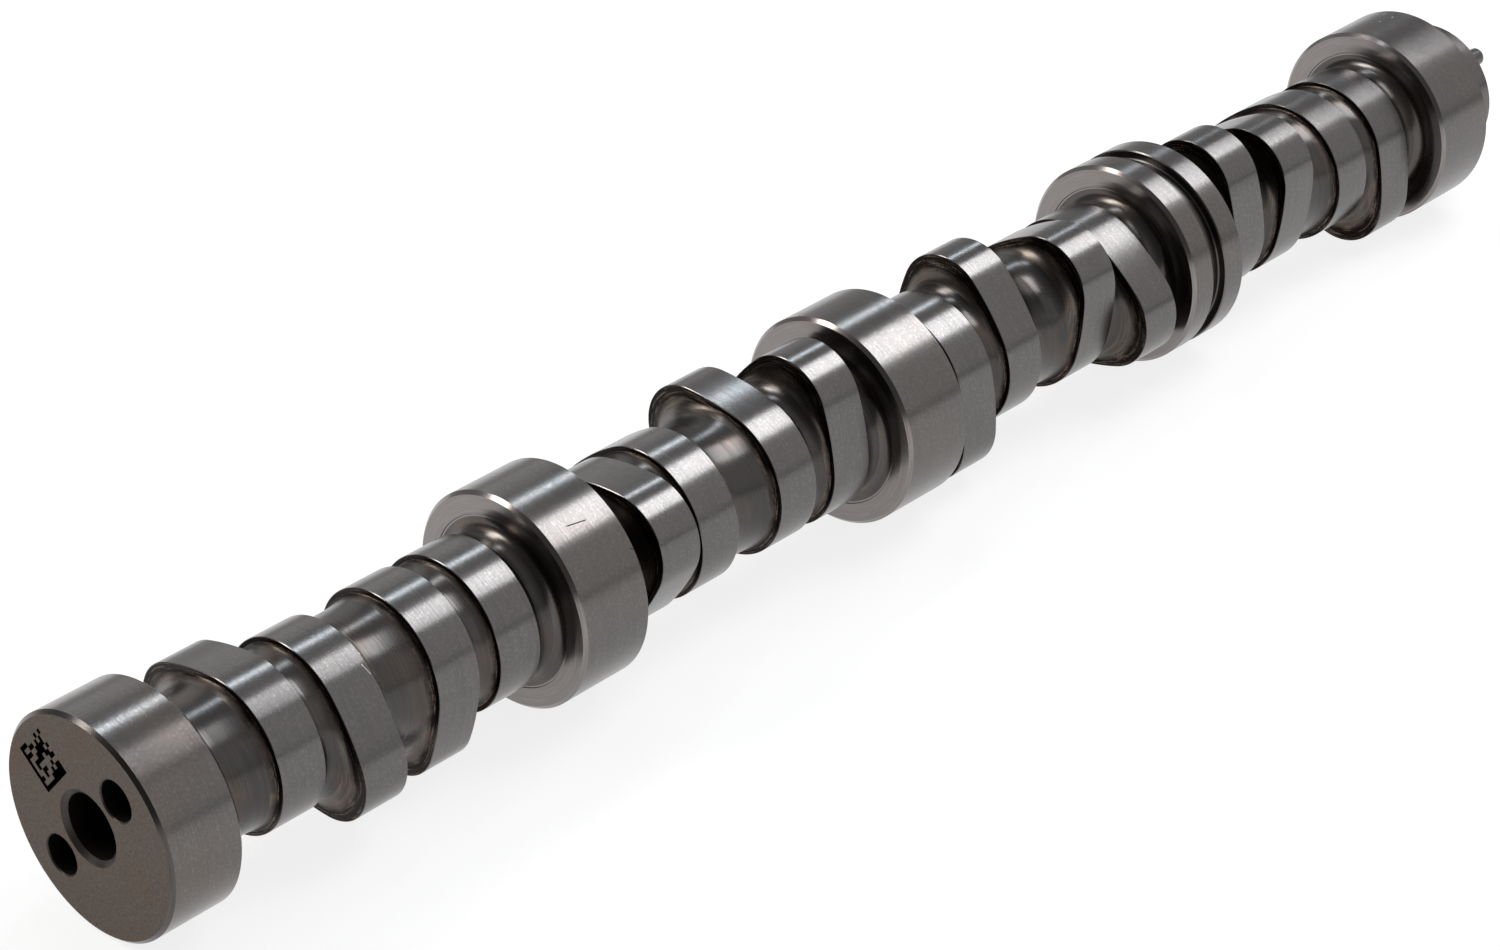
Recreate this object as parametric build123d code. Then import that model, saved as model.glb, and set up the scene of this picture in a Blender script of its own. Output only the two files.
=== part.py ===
"""Camshaft of a 90 degree eight-cylinder engine, with its dowel pin.

The frame is in millimetres. X runs along the shaft's axis, towards the nose that carries the
timing gear, and Z is up. The origin is on the axis, at the middle of the front journal.
An angle is measured about +X, from +Y towards +Z.
"""
from build123d import *
import math
import os

# Bearing journals, numbered from the front
JOURNAL_COUNT = 5
JOURNAL_RADIUS = 27.5
JOURNAL_WIDTH = 21.1
JOURNAL_PITCH = 111.76
JOURNAL_CHAMFER = 0.9
REAR_JOURNAL_WIDTH = 19.8
REAR_JOURNAL_PITCH = 122.1

# Size of the cone that joins a journal's side to the core
JOURNAL_ROOT = 2.6

# Core between the journals, and the bore along it
CORE_RADIUS = 17.3
BORE_RADIUS = 8.0
BORE_MOUTH_RADIUS = 9.3
BORE_MOUTH_DEPTH = 1.1
BORE_END_FROM_NOSE = 52.0
DRILL_POINT_ANGLE = 118.0

# Lobes: base circle, width, and the lift and radii of their two outlines
BASE_CIRCLE_RADIUS = 19.7
LOBE_WIDTH = 12.3
LOBE_ROOT = 1.5
INTAKE_LIFT = 7.54
INTAKE_NOSE_RADIUS = 13.9
INTAKE_FLANK_RADIUS = 66.5
EXHAUST_LIFT = 7.37
EXHAUST_NOSE_RADIUS = 13.8
EXHAUST_FLANK_RADIUS = 66.0

# Each bay holds two exhaust lobes beside its middle and two intake lobes outside them
EXHAUST_OFFSET = 13.63
INTAKE_OFFSET = 32.48

# Timing, in degrees of the shaft's own turn
FIRING_ORDER = (1, 8, 7, 2, 6, 5, 4, 3)
BANK_ANGLE = 90.0
LOBE_SEPARATION = 115.0
FIRST_INTAKE_ANGLE = 240.4

# Oil groove round one journal, and the holes from it to the bore
GROOVE_JOURNAL = 2
GROOVE_WIDTH = 5.0
GROOVE_DEPTH = 2.4
GROOVE_CHAMFER = 0.5
OIL_HOLE_RADIUS = 2.0
OIL_HOLE_COUNT = 2
OIL_HOLE_ANGLE = 50.0

# Nose, with the bolt hole in its middle
NOSE_RADIUS = 19.4
NOSE_LENGTH = 13.15
NOSE_CHAMFER = 0.6
NOSE_ROOT = 0.8
BOLT_HOLE_RADIUS = 5.1
BOLT_HOLE_CHAMFER = 1.3

# Dowel pin: its shank is pressed into the nose, and its thinner end stands proud of it
PIN_RADIUS = 2.5
PIN_SHANK_RADIUS = 2.7
PIN_LENGTH = 18.0
PIN_PROUD = 6.0
PIN_BULLET_LENGTH = 0.9
PIN_TIP_RADIUS = 1.5
PIN_HOLE_SPARE = 0.6
PIN_PLACE_RADIUS = 15.0
PIN_ANGLE = 133.3

# Driving holes in the rear face, in line with the pin
REAR_HOLE_COUNT = 2
REAR_HOLE_RADIUS = 5.0
REAR_HOLE_DEPTH = 13.5
REAR_HOLE_PLACE_RADIUS = 16.05

def journal_centre(number):
    """X of a journal's middle. The rearmost one stands further back than the pitch."""
    if number < JOURNAL_COUNT:
        return -(number - 1) * JOURNAL_PITCH
    return -(JOURNAL_COUNT - 2) * JOURNAL_PITCH - REAR_JOURNAL_PITCH


def journal_width(number):
    return JOURNAL_WIDTH if number < JOURNAL_COUNT else REAR_JOURNAL_WIDTH


REAR_FACE = journal_centre(JOURNAL_COUNT) - REAR_JOURNAL_WIDTH / 2
FRONT_SHOULDER = JOURNAL_WIDTH / 2
NOSE_FACE = FRONT_SHOULDER + NOSE_LENGTH
BORE_END = NOSE_FACE - BORE_END_FROM_NOSE


def across(angle):
    """Unit vector square to the shaft's axis, at an angle about it."""
    return Vector(0, math.cos(math.radians(angle)), math.sin(math.radians(angle)))


def turned(*corners):
    """Solid turned about the shaft's axis from an outline's corners in X and radius."""
    return revolve(make_face(Polyline(*corners, close=True)), axis=Axis.X)


def side_points(shoulder, outward):
    """Corners of a journal's side, from its rim in to the core. Outward is the way it faces."""
    places = (
        (-JOURNAL_CHAMFER, JOURNAL_RADIUS),
        (0, JOURNAL_RADIUS - JOURNAL_CHAMFER),
        (0, CORE_RADIUS + JOURNAL_ROOT),
        (JOURNAL_ROOT, CORE_RADIUS),
    )
    return [(shoulder + outward * x, radius) for x, radius in places]


def body_points():
    """Corners of the turned body from the rear face to the nose, in X and radius."""
    points = [(REAR_FACE, 0), (REAR_FACE, JOURNAL_RADIUS - JOURNAL_CHAMFER),
              (REAR_FACE + JOURNAL_CHAMFER, JOURNAL_RADIUS)]
    for number in range(JOURNAL_COUNT, 1, -1):
        half, next_half = journal_width(number) / 2, journal_width(number - 1) / 2
        points += side_points(journal_centre(number) + half, 1)
        points += reversed(side_points(journal_centre(number - 1) - next_half, -1))
    points += [
        (FRONT_SHOULDER - JOURNAL_CHAMFER, JOURNAL_RADIUS),
        (FRONT_SHOULDER, JOURNAL_RADIUS - JOURNAL_CHAMFER),
        (FRONT_SHOULDER, NOSE_RADIUS + NOSE_ROOT),
        (FRONT_SHOULDER + NOSE_ROOT, NOSE_RADIUS),
        (NOSE_FACE - NOSE_CHAMFER, NOSE_RADIUS),
        (NOSE_FACE, NOSE_RADIUS - NOSE_CHAMFER),
        (NOSE_FACE, 0),
    ]
    return points


def lobe_outline(lift, nose_radius, flank_radius):
    """Face of a lobe with its nose along local X: base circle, two flanks and nose, all tangent."""
    nose_centre = BASE_CIRCLE_RADIUS + lift - nose_radius
    to_base = flank_radius - BASE_CIRCLE_RADIUS
    to_nose = flank_radius - nose_radius
    flank_x = (to_base**2 - to_nose**2 + nose_centre**2) / (2 * nose_centre)
    flank_y = -math.sqrt(to_base**2 - flank_x**2)
    base_angle = math.atan2(-flank_y, -flank_x)
    nose_angle = math.atan2(-flank_y, nose_centre - flank_x)

    def at(centre_x, centre_y, radius, angle):
        return (centre_x + radius * math.cos(angle), centre_y + radius * math.sin(angle))

    base_end = at(0, 0, BASE_CIRCLE_RADIUS, base_angle)
    flank_middle = at(flank_x, flank_y, flank_radius, (base_angle + nose_angle) / 2)
    nose_end = at(nose_centre, 0, nose_radius, nose_angle)
    below = [(x, -y) for x, y in (base_end, flank_middle, nose_end)]
    return make_face([
        ThreePointArc(below[0], (-BASE_CIRCLE_RADIUS, 0), base_end),
        ThreePointArc(base_end, flank_middle, nose_end),
        ThreePointArc(nose_end, (nose_centre + nose_radius, 0), below[2]),
        ThreePointArc(below[2], below[1], below[0]),
    ])


def intake_angle(cylinder):
    """Angle of a cylinder's intake lobe. Even cylinders are in the other bank, a bank angle on."""
    bank = BANK_ANGLE if cylinder % 2 == 0 else 0
    return FIRST_INTAKE_ANGLE + bank + 360 / len(FIRING_ORDER) * FIRING_ORDER.index(cylinder)


def lobe_places():
    """Lobes as X of the middle, angle of the nose, and the kind. A bay serves two cylinders, and
    each has its intake lobe on one side of the bay's middle and its exhaust lobe on the other."""
    places = []
    for bay in range(1, JOURNAL_COUNT):
        middle = -(bay - 0.5) * JOURNAL_PITCH
        for cylinder, side in ((2 * bay - 1, 1), (2 * bay, -1)):
            angle = intake_angle(cylinder)
            places.append((middle + side * INTAKE_OFFSET, angle, "intake"))
            places.append((middle - side * EXHAUST_OFFSET, angle - LOBE_SEPARATION, "exhaust"))
    return places


def lobes():
    """All lobes as solids, standing on the shaft's axis."""
    outlines = {
        "intake": lobe_outline(INTAKE_LIFT, INTAKE_NOSE_RADIUS, INTAKE_FLANK_RADIUS),
        "exhaust": lobe_outline(EXHAUST_LIFT, EXHAUST_NOSE_RADIUS, EXHAUST_FLANK_RADIUS),
    }
    solids = []
    for x, angle, kind in lobe_places():
        rear = Plane(origin=(x - LOBE_WIDTH / 2, 0, 0), x_dir=across(angle), z_dir=(1, 0, 0))
        solids.append(extrude(rear * outlines[kind], LOBE_WIDTH))
    return solids


def lobe_roots(shaft):
    """Circular edges where the lobes' sides stand on the core."""
    sides = [x + side * LOBE_WIDTH / 2 for x, _, _ in lobe_places() for side in (-1, 1)]

    def is_root(edge):
        on_side = min(abs(edge.arc_center.X - x) for x in sides) < 1e-3
        return on_side and abs(edge.radius - CORE_RADIUS) < 1e-3

    return shaft.edges().filter_by(GeomType.CIRCLE).filter_by(is_root)


def oil_groove():
    """Ring that is cut round one journal, with a chamfer at each lip."""
    half = GROOVE_WIDTH / 2
    floor = JOURNAL_RADIUS - GROOVE_DEPTH
    lip = JOURNAL_RADIUS - GROOVE_CHAMFER
    corners = [(-half, floor), (half, floor), (half, lip), (half + GROOVE_CHAMFER, JOURNAL_RADIUS),
               (half + GROOVE_CHAMFER, JOURNAL_RADIUS + 1), (-half - GROOVE_CHAMFER, JOURNAL_RADIUS + 1),
               (-half - GROOVE_CHAMFER, JOURNAL_RADIUS), (-half, lip)]
    return Pos(journal_centre(GROOVE_JOURNAL), 0, 0) * turned(*corners)


def oil_holes():
    """Drillings from the groove's floor to the bore."""
    x = journal_centre(GROOVE_JOURNAL)
    holes = []
    for index in range(OIL_HOLE_COUNT):
        angle = OIL_HOLE_ANGLE + index * 360 / OIL_HOLE_COUNT
        plane = Plane(origin=(x, 0, 0), x_dir=(1, 0, 0), z_dir=across(angle))
        holes.append(extrude(plane * Circle(OIL_HOLE_RADIUS), JOURNAL_RADIUS))
    return holes


def rear_bore():
    """Bore from the rear face: a mouth chamfer, a long wall and the drill's point."""
    point = BORE_RADIUS / math.tan(math.radians(DRILL_POINT_ANGLE / 2))
    return turned((REAR_FACE, 0), (REAR_FACE, BORE_MOUTH_RADIUS), (REAR_FACE + BORE_MOUTH_DEPTH, BORE_RADIUS),
                  (BORE_END, BORE_RADIUS), (BORE_END + point, 0))


def bolt_hole():
    """Hole from the nose face into the bore, at the size under its thread."""
    corners = [(BORE_END, 0), (BORE_END, BOLT_HOLE_RADIUS),
               (NOSE_FACE - BOLT_HOLE_CHAMFER, BOLT_HOLE_RADIUS),
               (NOSE_FACE, BOLT_HOLE_RADIUS + BOLT_HOLE_CHAMFER), (NOSE_FACE, 0)]
    return turned(*corners)


def pin_hole():
    depth = PIN_LENGTH - PIN_PROUD + PIN_HOLE_SPARE
    place = Vector(NOSE_FACE, 0, 0) + across(PIN_ANGLE) * PIN_PLACE_RADIUS
    mouth = Plane(origin=place, x_dir=across(PIN_ANGLE), z_dir=(-1, 0, 0))
    return extrude(mouth * Circle(PIN_SHANK_RADIUS), depth)


def rear_holes():
    """Flat-bottomed holes either side of the bore, in line with the dowel pin."""
    holes = []
    for index in range(REAR_HOLE_COUNT):
        direction = across(PIN_ANGLE + index * 360 / REAR_HOLE_COUNT)
        place = Vector(REAR_FACE, 0, 0) + direction * REAR_HOLE_PLACE_RADIUS
        mouth = Plane(origin=place, x_dir=direction, z_dir=(1, 0, 0))
        holes.append(extrude(mouth * Circle(REAR_HOLE_RADIUS), REAR_HOLE_DEPTH))
    return holes


def camshaft():
    """The shaft: one piece of steel, turned, with its lobes ground and its holes drilled."""
    shaft = turned(*body_points()) + lobes()
    shaft = chamfer(lobe_roots(shaft), LOBE_ROOT)
    shaft -= [rear_bore(), bolt_hole(), pin_hole(), oil_groove()]
    shaft -= oil_holes() + rear_holes()
    return shaft.solid()


def dowel_pin():
    """Pin with its shoulder at the nose face and a bullet end outside it."""
    inner = PIN_PROUD - PIN_LENGTH
    pin = turned((inner, 0), (inner, PIN_SHANK_RADIUS), (0, PIN_SHANK_RADIUS), (0, PIN_RADIUS),
                 (PIN_PROUD - PIN_BULLET_LENGTH, PIN_RADIUS), (PIN_PROUD, PIN_TIP_RADIUS), (PIN_PROUD, 0))
    place = Vector(NOSE_FACE, 0, 0) + across(PIN_ANGLE) * PIN_PLACE_RADIUS
    return (Pos(*place) * pin).solid()


os.makedirs("parts", exist_ok=True)
export_step(camshaft(), "parts/camshaft.step")
export_step(dowel_pin(), "parts/dowel_pin.step")
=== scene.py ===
"""Looks of a camshaft of a 90 degree eight-cylinder engine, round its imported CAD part.

The shaft is one turned and ground surface: rows of points carried round the shaft's axis, from the
mouth of the rear bore over the journals and lobes to the nose, and back through the bore. The
dowel pin is a second piece. Sizes are in metres, and angles are about +X, from +Y towards +Z.
"""
import math
from collections import namedtuple

import bpy
import numpy as np
from bpy.props import FloatProperty, FloatVectorProperty, PointerProperty
from mathutils import Color, Matrix, Vector


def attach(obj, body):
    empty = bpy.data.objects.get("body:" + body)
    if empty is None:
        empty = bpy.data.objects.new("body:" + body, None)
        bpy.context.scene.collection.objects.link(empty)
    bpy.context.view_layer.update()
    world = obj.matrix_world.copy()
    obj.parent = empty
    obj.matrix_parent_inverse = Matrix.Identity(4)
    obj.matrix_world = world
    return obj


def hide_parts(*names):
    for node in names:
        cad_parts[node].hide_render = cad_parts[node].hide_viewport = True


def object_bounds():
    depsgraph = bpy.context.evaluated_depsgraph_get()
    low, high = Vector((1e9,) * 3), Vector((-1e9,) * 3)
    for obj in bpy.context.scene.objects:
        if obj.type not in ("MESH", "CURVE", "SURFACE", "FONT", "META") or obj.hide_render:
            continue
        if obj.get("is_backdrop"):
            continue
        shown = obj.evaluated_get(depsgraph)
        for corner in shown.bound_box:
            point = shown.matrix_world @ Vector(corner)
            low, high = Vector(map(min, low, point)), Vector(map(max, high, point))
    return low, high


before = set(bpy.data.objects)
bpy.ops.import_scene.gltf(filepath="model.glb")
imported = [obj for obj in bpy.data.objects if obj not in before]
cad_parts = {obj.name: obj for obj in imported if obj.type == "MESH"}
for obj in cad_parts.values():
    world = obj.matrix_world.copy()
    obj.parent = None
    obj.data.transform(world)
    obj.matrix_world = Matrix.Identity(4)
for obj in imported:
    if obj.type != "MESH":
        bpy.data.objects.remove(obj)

bl_info = {
    "name": "Camshaft",
    "version": (1, 0, 0),
    "blender": (4, 5, 0),
    "location": "3D View > Sidebar > Camshaft",
    "description": "Builds the surfaces, finishes and studio of a ground steel camshaft",
    "category": "Add Mesh",
}

MM = 0.001
FULL_TURN = 2 * math.pi
CAD_LOW, CAD_HIGH = (Vector(corner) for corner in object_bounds())

# Shaft, as in the part's source
JOURNAL_COUNT = 5
JOURNAL_PITCH = 111.76 * MM
REAR_JOURNAL_PITCH = 122.1 * MM
JOURNAL_WIDTH = 21.1 * MM
REAR_JOURNAL_WIDTH = 19.8 * MM
JOURNAL_CHAMFER = 0.9 * MM
NOSE_LENGTH = 13.15 * MM
NOSE_CHAMFER = 0.6 * MM
BORE_MOUTH_RADIUS = 9.3 * MM
BORE_MOUTH_DEPTH = 1.1 * MM
BORE_END_FROM_NOSE = 52.0 * MM
DRILL_POINT = math.radians(59)      # between the drill's point and the shaft's axis
EXHAUST_OFFSET = 13.63 * MM
INTAKE_OFFSET = 32.48 * MM
LOBE_WIDTH = 12.3 * MM
FIRING_ORDER = (1, 8, 7, 2, 6, 5, 4, 3)
BANK_ANGLE = 90.0
LOBE_SEPARATION = 115.0
FIRST_INTAKE_ANGLE = 240.4
LOBE_FORMS = {          # lift, nose radius, flank radius
    "intake": (7.54 * MM, 13.9 * MM, 66.5 * MM),
    "exhaust": (7.37 * MM, 13.8 * MM, 66.0 * MM),
}
GROOVE_JOURNAL = 2
GROOVE_WIDTH = 5.0 * MM
GROOVE_DEPTH = 2.4 * MM
OIL_HOLE_RADIUS = 2.0 * MM
OIL_HOLE_DEPTH = 12.0 * MM
OIL_HOLE_ANGLES = (50.0, 230.0)
PIN_ANGLE = 133.3
PIN_PLACE_RADIUS = 15.0 * MM
PIN_PROUD = 6.0 * MM
PIN_LENGTH = 18.0 * MM
REAR_HOLE_RADIUS = 5.0 * MM
REAR_HOLE_DEPTH = 13.5 * MM
REAR_HOLE_PLACE_RADIUS = 16.05 * MM

# Small forms of the visual surface
EDGE_BREAK = 0.15 * MM
ROOT_REACH = 7.2 * MM             # length of a fillet along the core in a wide gap
FRONT_FACING_ROOT = 2.4 * MM      # and in a narrow one, where the rear-facing fillet has the rest
NARROW_GAP = 8.0 * MM
JOURNAL_ROOT_RISE = 3.6 * MM
CORE_TURN = math.radians(40)      # up to this slope, a fillet has the core's finish
JOURNAL_SIDE_STEPS = (            # out from the side and from the axis: hollow, step and flat ring
    (-0.02 * MM, 21.3 * MM),
    (-0.05 * MM, 21.7 * MM),
    (0.14 * MM, 21.85 * MM),
    (0.14 * MM, 24.2 * MM),
    (0.11 * MM, 24.3 * MM),
    (0.12 * MM, 24.45 * MM),
)
BAND_AT_BASE = 0.95 * MM          # width of the flat band inside a lobe's outline, at its base circle
BAND_AT_NOSE = 2.2 * MM           # and at the full lift
FULL_LIFT = 7.5 * MM
BAND_BEVEL = 0.08 * MM
BOWL_TOP = 0.12 * MM              # from the band down to the end of the bowl's curve
GROOVE_LIP = 0.3 * MM
GROOVE_ROOT = 0.3 * MM
NOSE_FILLET = 0.8 * MM
NOSE_FILLET_MIDDLE = 0.23 * MM
THREAD_CHAMFER = 1.3 * MM
THREAD_DEPTH = 0.85 * MM
THREAD_STEEPNESS = 1.6            # of the thread's wave before its crests and roots are cut flat
THREAD_FLAT = 0.3                 # cut off that wave's foot
REAR_HOLE_CHAMFER = 0.3 * MM
PIN_HOLE_CHAMFER = 0.25 * MM
PIN_HOLE_GAP = 0.01 * MM
PIN_HOLE_SPARE_DEPTH = 0.6 * MM
PIN_INNER_CHAMFER = 0.5 * MM
PIN_DOME = 1.1 * MM
PIN_DOME_POWER = 0.7

# Rows and columns of points. The shaft's first column is at the pin, so holes fall on columns
COLUMNS = 160
ANGLES = math.radians(PIN_ANGLE) + np.arange(COLUMNS) * (FULL_TURN / COLUMNS)
FILLET_STEPS = 8
REAR_ROWS = 8
NOSE_ROWS = 6
GROOVE_ROWS = 5
THREAD_TURNS = 6
THREAD_ROWS = 5                   # for each turn
BORE_ROW = 60.0 * MM              # from the rear face, so the bore's mouth has a row behind it
PIN_COLUMNS = 64
PIN_DOME_ROWS = 8
REAR_HOLE_SPAN = 10               # columns from a hole's middle to its border in the shaft's grid
PIN_HOLE_SPAN = 8
PIN_HOLE_ROWS = 4
OIL_HOLE_SPAN = 3
SHARP = math.cos(math.radians(30))
FAR_INSIDE = 1000.0               # for points that lie on no lobe's side

GROUND, CORE, ROOT, FLANK, SIDE, REAR, INSIDE = range(7)
REAR_FACING, FRONT_FACING = -1, 1

# A row of points round the shaft: its X, its radius as one value or one for each column, the
# finish of the strip after it, and the outline of the lobe that it belongs to
Row = namedtuple("Row", "x radius finish outline", defaults=[None])


def journal_centre(number):
    """X of a journal's middle. The rearmost one stands further back than the pitch."""
    if number < JOURNAL_COUNT:
        return -(number - 1) * JOURNAL_PITCH
    return -(JOURNAL_COUNT - 2) * JOURNAL_PITCH - REAR_JOURNAL_PITCH


def journal_half(number):
    """Half a journal's width."""
    return (JOURNAL_WIDTH if number < JOURNAL_COUNT else REAR_JOURNAL_WIDTH) / 2


REAR_FACE = journal_centre(JOURNAL_COUNT) - journal_half(JOURNAL_COUNT)
FRONT_SHOULDER = JOURNAL_WIDTH / 2
NOSE_FACE = FRONT_SHOULDER + NOSE_LENGTH
BORE_END = NOSE_FACE - BORE_END_FROM_NOSE


# Sizes and colours that a user would change

def linear(code):
    """Linear colour of an sRGB hex code: the low part of each channel is a straight line and
    the rest a power of 2.4."""
    parts = [int(code[i:i + 2], 16) / 255 for i in (1, 3, 5)]
    return tuple(p / 12.92 if p <= 0.04045 else ((p + 0.055) / 1.055) ** 2.4 for p in parts)


def length(name, description, default):
    """A length property in metres."""
    return FloatProperty(name=name, description=description, default=default, min=0.0,
                         subtype="DISTANCE", unit="LENGTH", precision=5)


def colour(name, description, code):
    """A colour property whose default is a hex code."""
    return FloatVectorProperty(name=name, description=description, default=linear(code),
                               subtype="COLOR", size=3, min=0.0, max=1.0)


class CamshaftSizes(bpy.types.PropertyGroup):
    """Radii of the shaft's surfaces."""
    journal_radius: length("Journal radius", "Radius of the bearing journals", 27.5 * MM)
    base_radius: length("Base circle", "Radius of the lobes' base circle", 19.7 * MM)
    core_radius: length("Core radius", "Radius of the core between lobes", 17.3 * MM)
    nose_radius: length("Nose radius", "Radius of the nose that carries the gear", 19.4 * MM)
    bore_radius: length("Bore radius", "Radius of the bore along the shaft", 8.0 * MM)
    thread_radius: length("Thread radius", "Inner radius of the nose bolt's thread", 5.1 * MM)
    thread_pitch: length("Thread pitch", "Pitch of the nose bolt's thread", 1.75 * MM)
    pin_radius: length("Pin radius", "Radius of the dowel pin", 2.5 * MM)


class CamshaftColours(bpy.types.PropertyGroup):
    """Colours of the finishes."""
    ground: colour("Ground steel", "Journals and lobes, ground", "#6a6867")
    ground_line: colour("Grinding lines", "Darker lines in the ground steel", "#474747")
    ground_speck: colour("Ground grain", "Bright grain in the ground steel", "#8d8e8f")
    stain: colour("Stain", "Straw stain on the ground steel", "#74685f")
    nick: colour("Dark nick", "Nicks that show dark", "#1d1b1a")
    # Bright nicks are scratches with the glint they catch painted into their colour
    scuff_and_glint: colour("Bright nick", "Nicks that show bright", "#c9c8c6")
    # The core's colour is partly its own turned finish and partly painted shade of the gaps between the
    # lobes
    core: colour("Core", "Core between the lobes, turned and polished", "#4e4c4b")
    core_line: colour("Core lines", "Darker lines round the core", "#343231")
    root: colour("Fillet", "Fillets at the foot of the journals", "#5c5957")
    root_line: colour("Fillet lines", "Darker lines round the fillets", "#2f2c2b")
    bowl: colour("Lobe side", "Hollow in the side of a lobe", "#605b57")
    bowl_line: colour("Lobe side lines", "Darker lines in the hollow", "#37322e")
    scale: colour("Heat scale", "Scale left beside the lobes' edges", "#1a1410")
    scale_ring: colour("Scale rings", "Bare rings in the scale", "#7c6e65")
    scale_pit: colour("Scale pits", "Pits in the scale", "#0d0908")
    temper: colour("Temper colour", "Straw to bronze tint that heat leaves", "#7b6350")
    side: colour("Turned side", "Sides of the journals, turned", "#8a8583")
    side_line: colour("Turning rings", "Darker rings in the turned sides", "#5c5856")
    rear: colour("Rear face", "Rear end of the shaft", "#716a65")
    rear_grain: colour("Rear grain", "Dark grain of the rear end", "#4b4540")
    mark: colour("Laser mark", "Block pattern on the rear face", "#0c0807")
    # Dark partly as the bored steel's own colour and partly as painted shade inside the bore and holes
    bored_and_shade: colour("Bored steel", "Walls of the bore and the holes", "#37322f")
    bored_line: colour("Tool lines", "Lighter lines in the bored walls", "#504a46")
    pin: colour("Pin", "Dowel pin, ground", "#6a6867")
    pin_line: colour("Pin lines", "Darker lines round the dowel pin", "#555352")
    floor: colour("Floor", "Studio floor", "#7c7c7c")
    fibre: colour("Floor fibre", "Fibres in the studio floor's paper", "#757575")


# Rows of the shaft's outline

def lobe_radius(angle, form, base):
    """Distance from the shaft's axis to a lobe's outline, at angles from the lobe's nose. The
    outline is a base circle, two flanks that are arcs of a large circle, and a nose arc, all
    tangent. On an arc it is where a ray from the axis leaves the arc's circle."""
    lift, nose, flank = form
    centre = base + lift - nose
    to_base, to_nose = flank - base, flank - nose
    flank_x = (to_base**2 - to_nose**2 + centre**2) / (2 * centre)
    flank_y = -math.sqrt(to_base**2 - flank_x**2)
    base_end = math.atan2(-flank_y, -flank_x)
    nose_turn = math.atan2(-flank_y, centre - flank_x)
    nose_end = math.atan2(nose * math.sin(nose_turn), centre + nose * math.cos(nose_turn))
    turn = np.abs((angle + math.pi) % FULL_TURN - math.pi)

    def leaves(x, y, radius):
        along = x * np.cos(turn) + y * np.sin(turn)
        return along + np.sqrt(np.maximum(along**2 - x * x - y * y + radius**2, 0))

    tip = np.where(turn >= nose_end, leaves(flank_x, flank_y, flank), leaves(centre, 0, nose))
    return np.where(turn >= base_end, base, tip)


def root_rows(reach, rise, core, upper):
    """Rows of a fillet from the core up to the side it stands on, a quarter of an ellipse: as
    distance out from the side, reach (1 - sin t), and radius, core + rise (1 - cos t). Its lower
    part has the core's finish."""
    return [(reach * (1 - math.sin(t)), core + rise * (1 - math.cos(t)), CORE if t < CORE_TURN else upper)
            for t in np.linspace(0, math.pi / 2, FILLET_STEPS + 1)]


def journal_side(sizes, reach):
    """Rows of a journal's side from the core to the rim: fillet, a turned hollow, a small step
    and a flat ring that ends in a chamfer."""
    rim = sizes.journal_radius
    rows = root_rows(reach, JOURNAL_ROOT_RISE, sizes.core_radius, ROOT)
    rows += [(out, radius, SIDE) for out, radius in JOURNAL_SIDE_STEPS]
    return rows + [(0.0, rim - JOURNAL_CHAMFER, SIDE), (-JOURNAL_CHAMFER, rim, GROUND)]


def band_width(outline, base):
    """Width of the flat band inside a lobe's outline: it grows with the lift."""
    return BAND_AT_BASE + (BAND_AT_NOSE - BAND_AT_BASE) * (outline - base) / FULL_LIFT


def lobe_side(outline, sizes, reach):
    """Rows of a lobe's side from the core to the ground edge: a bowl, then a flat band that is
    wider at the nose."""
    core = sizes.core_radius
    ring = outline - band_width(outline, sizes.base_radius)
    return root_rows(reach, ring - core - BOWL_TOP, core, FLANK) + [
        (-BAND_BEVEL, ring - BAND_BEVEL, FLANK),
        (0.0, ring, FLANK),
        (0.0, outline - EDGE_BREAK, GROUND),
        (-EDGE_BREAK, outline, GROUND),
    ]


def shoulder(x, facing, side, outline=None):
    """A side's rows, placed at X. A side that faces the rear is met from the core outwards, and
    one that faces the front from its rim inwards. A lobe's rows keep its outline."""
    if facing == REAR_FACING:
        return [Row(x - out, radius, finish, outline) for out, radius, finish in side]
    finishes = [CORE] + [finish for _, _, finish in side[:-1]]
    return [Row(x + out, radius, finish, outline)
            for (out, radius, _), finish in zip(side[::-1], finishes[::-1])]


def collars():
    """Journals and lobes from the rear to the front, each as X of its middle, half its width, its
    kind, and a journal's number or the angle of a lobe's nose."""
    places = [(journal_centre(n), journal_half(n), "journal", n) for n in range(1, JOURNAL_COUNT + 1)]
    half = LOBE_WIDTH / 2
    for bay in range(1, JOURNAL_COUNT):
        middle = -(bay - 0.5) * JOURNAL_PITCH
        for cylinder, side in ((2 * bay - 1, 1), (2 * bay, -1)):
            bank = BANK_ANGLE if cylinder % 2 == 0 else 0
            intake = FIRST_INTAKE_ANGLE + bank + 360 / len(FIRING_ORDER) * FIRING_ORDER.index(cylinder)
            places.append((middle + side * INTAKE_OFFSET, half, "intake", intake))
            places.append((middle - side * EXHAUST_OFFSET, half, "exhaust", intake - LOBE_SEPARATION))
    return sorted(places)


def collar_side(places, number, facing, sizes):
    """Rows of one side of a journal or lobe, with a fillet as long as the gap beside it allows."""
    x, half, kind, value = places[number]
    other_x, other_half = places[number + facing][:2]
    gap = abs(other_x - x) - half - other_half
    narrow = gap - FRONT_FACING_ROOT if facing == REAR_FACING else FRONT_FACING_ROOT
    reach = narrow if gap < NARROW_GAP else ROOT_REACH
    if kind == "journal":
        return shoulder(x + facing * half, facing, journal_side(sizes, reach))
    outline = lobe_radius(ANGLES - math.radians(value), LOBE_FORMS[kind], sizes.base_radius)
    return shoulder(x + facing * half, facing, lobe_side(outline, sizes, reach), outline)


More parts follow.
